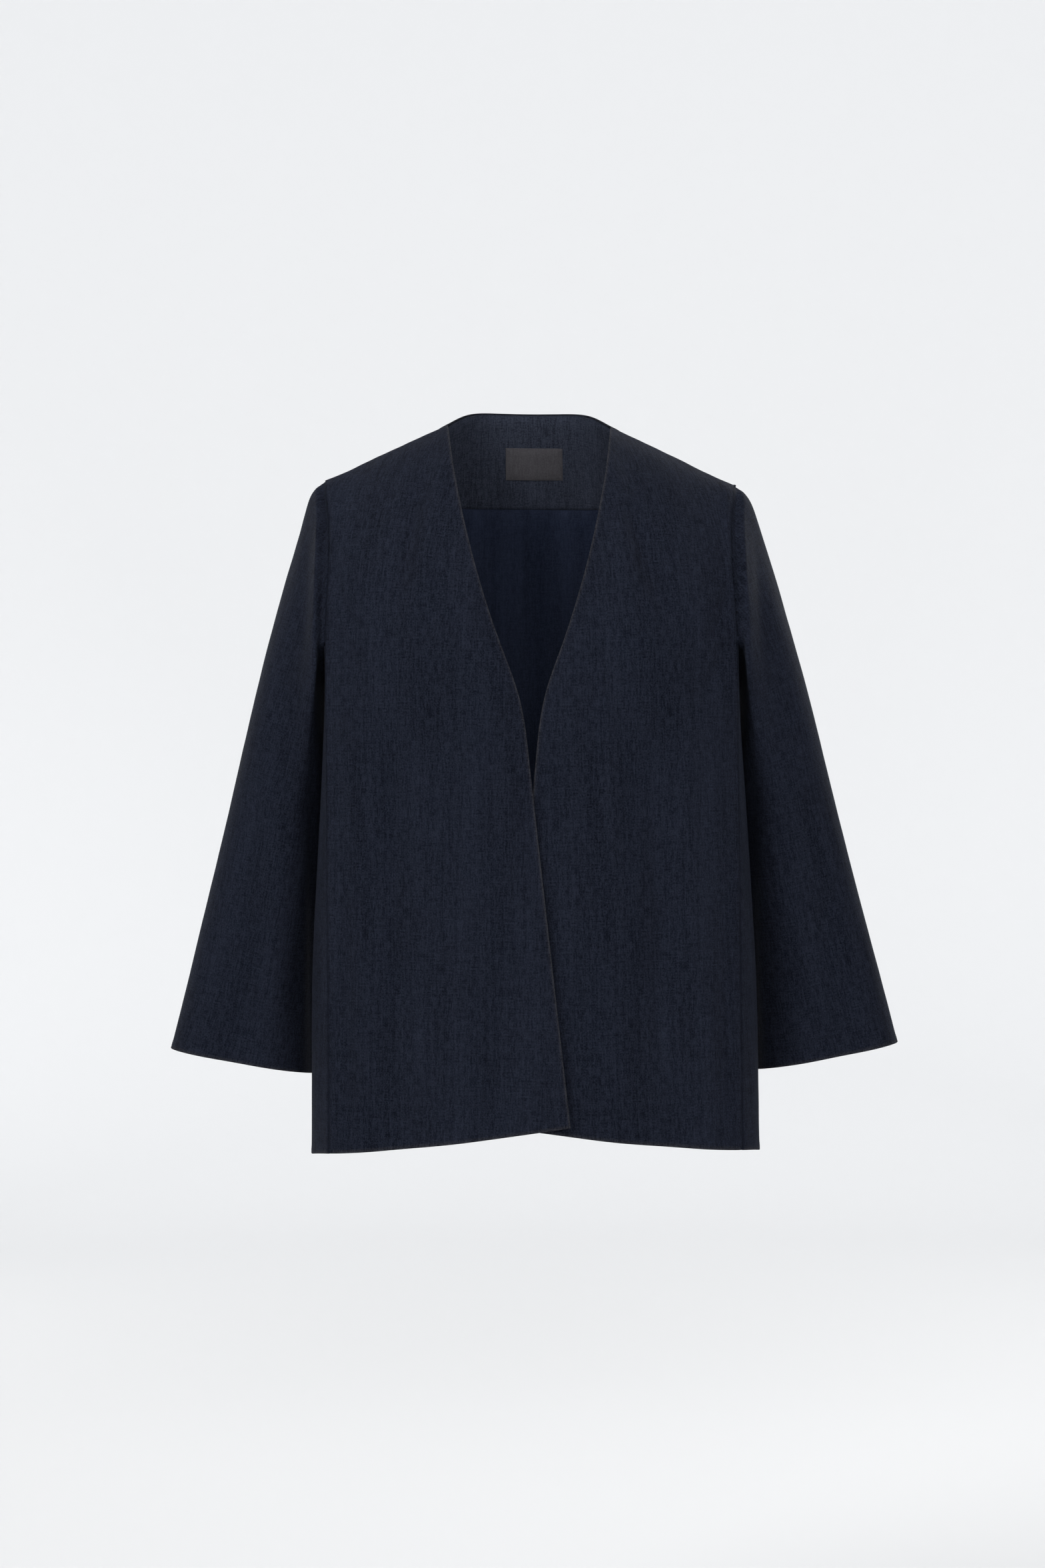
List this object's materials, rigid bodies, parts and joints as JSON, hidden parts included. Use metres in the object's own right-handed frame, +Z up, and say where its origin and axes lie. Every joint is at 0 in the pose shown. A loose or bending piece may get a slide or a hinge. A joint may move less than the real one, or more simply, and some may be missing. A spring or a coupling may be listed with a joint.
{
  "type": "denim jacket",
  "caption": "Collarless open-front denim jacket with a V neckline, straight front edges and wide seven-eighths sleeves, filled out as if worn, with open neck, cuffs and hem.",
  "frame": {"origin": "middle of the neck opening, level with the neck ends of the shoulder seams", "axes": "+X is the viewer's right when the front is seen, which is the wearer's left; +Y points to the back; +Z points up"},
  "size_m": [0.7161, 0.251, 0.7216],
  "materials": {
    "denim": "matte dark indigo twill",
    "lining": "smooth dark navy lining with a soft sheen",
    "label": "fine woven tape, near black"
  },
  "bodies": {
    "root": {"front_right": "denim", "front_left": "denim", "back": "denim", "sleeve_right": "denim", "sleeve_left": "denim", "back_neck_facing": "denim", "back_lining": "lining", "label": "label"}
  },
  "joints": []
}
